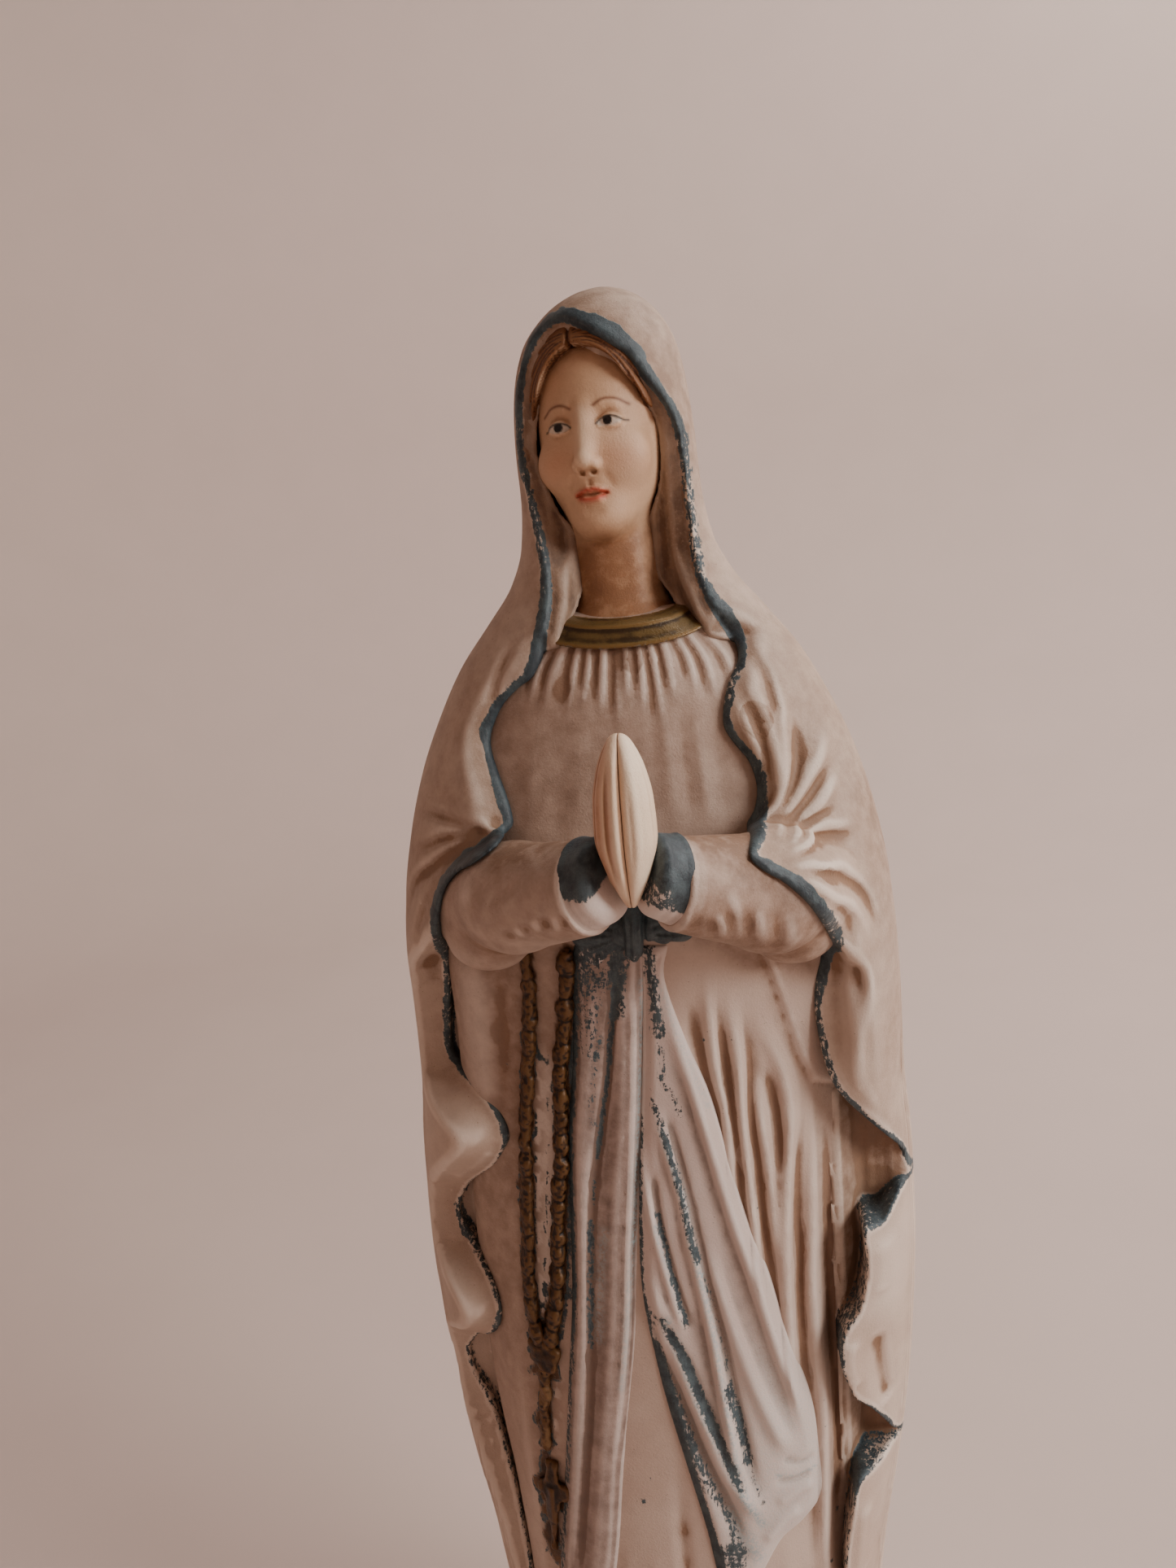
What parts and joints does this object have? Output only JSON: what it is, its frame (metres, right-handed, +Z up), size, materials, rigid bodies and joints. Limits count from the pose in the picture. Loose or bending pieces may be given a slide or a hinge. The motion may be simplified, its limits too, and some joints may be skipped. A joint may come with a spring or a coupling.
{
  "type": "madonna statue",
  "caption": "Free-standing praying madonna figure in hollow bisque porcelain, with a veil mantle, sash and rosary in relief, on a low rock mound.",
  "frame": {"origin": "centre of the plinth's flat underside", "axes": "+Z up, the figure faces -Y, +X is the figure's own left-hand side"},
  "size_m": [0.0872, 0.0845, 0.2994],
  "materials": {
    "bisque": "unglazed matt bisque, aged",
    "bisque_rock": "unglazed matt bisque, rough",
    "bisque_flesh": "unglazed matt bisque, smooth",
    "blue_enamel": "worn matt slate blue over bisque",
    "gilding": "worn dull gilding over bisque"
  },
  "bodies": {
    "root": {"plinth": "bisque_rock", "gown": "bisque", "mantle": "bisque", "head": "bisque_flesh", "collar_band": "gilding", "sleeve_right": "bisque", "sleeve_left": "bisque", "cuff_right": "blue_enamel", "cuff_left": "blue_enamel", "hand_right": "bisque_flesh", "hand_left": "bisque_flesh", "sash_knot": "blue_enamel", "sash_tail_centre": "blue_enamel", "sash_tail_side": "blue_enamel", "rosary_strand_outer": "gilding", "rosary_strand_inner": "gilding", "rosary_strand_drop": "gilding", "rosary_medal": "gilding", "rosary_cross": "gilding", "foot_right": "bisque_flesh", "foot_left": "bisque_flesh", "rose_right": "gilding", "rose_left": "gilding"}
  },
  "joints": []
}
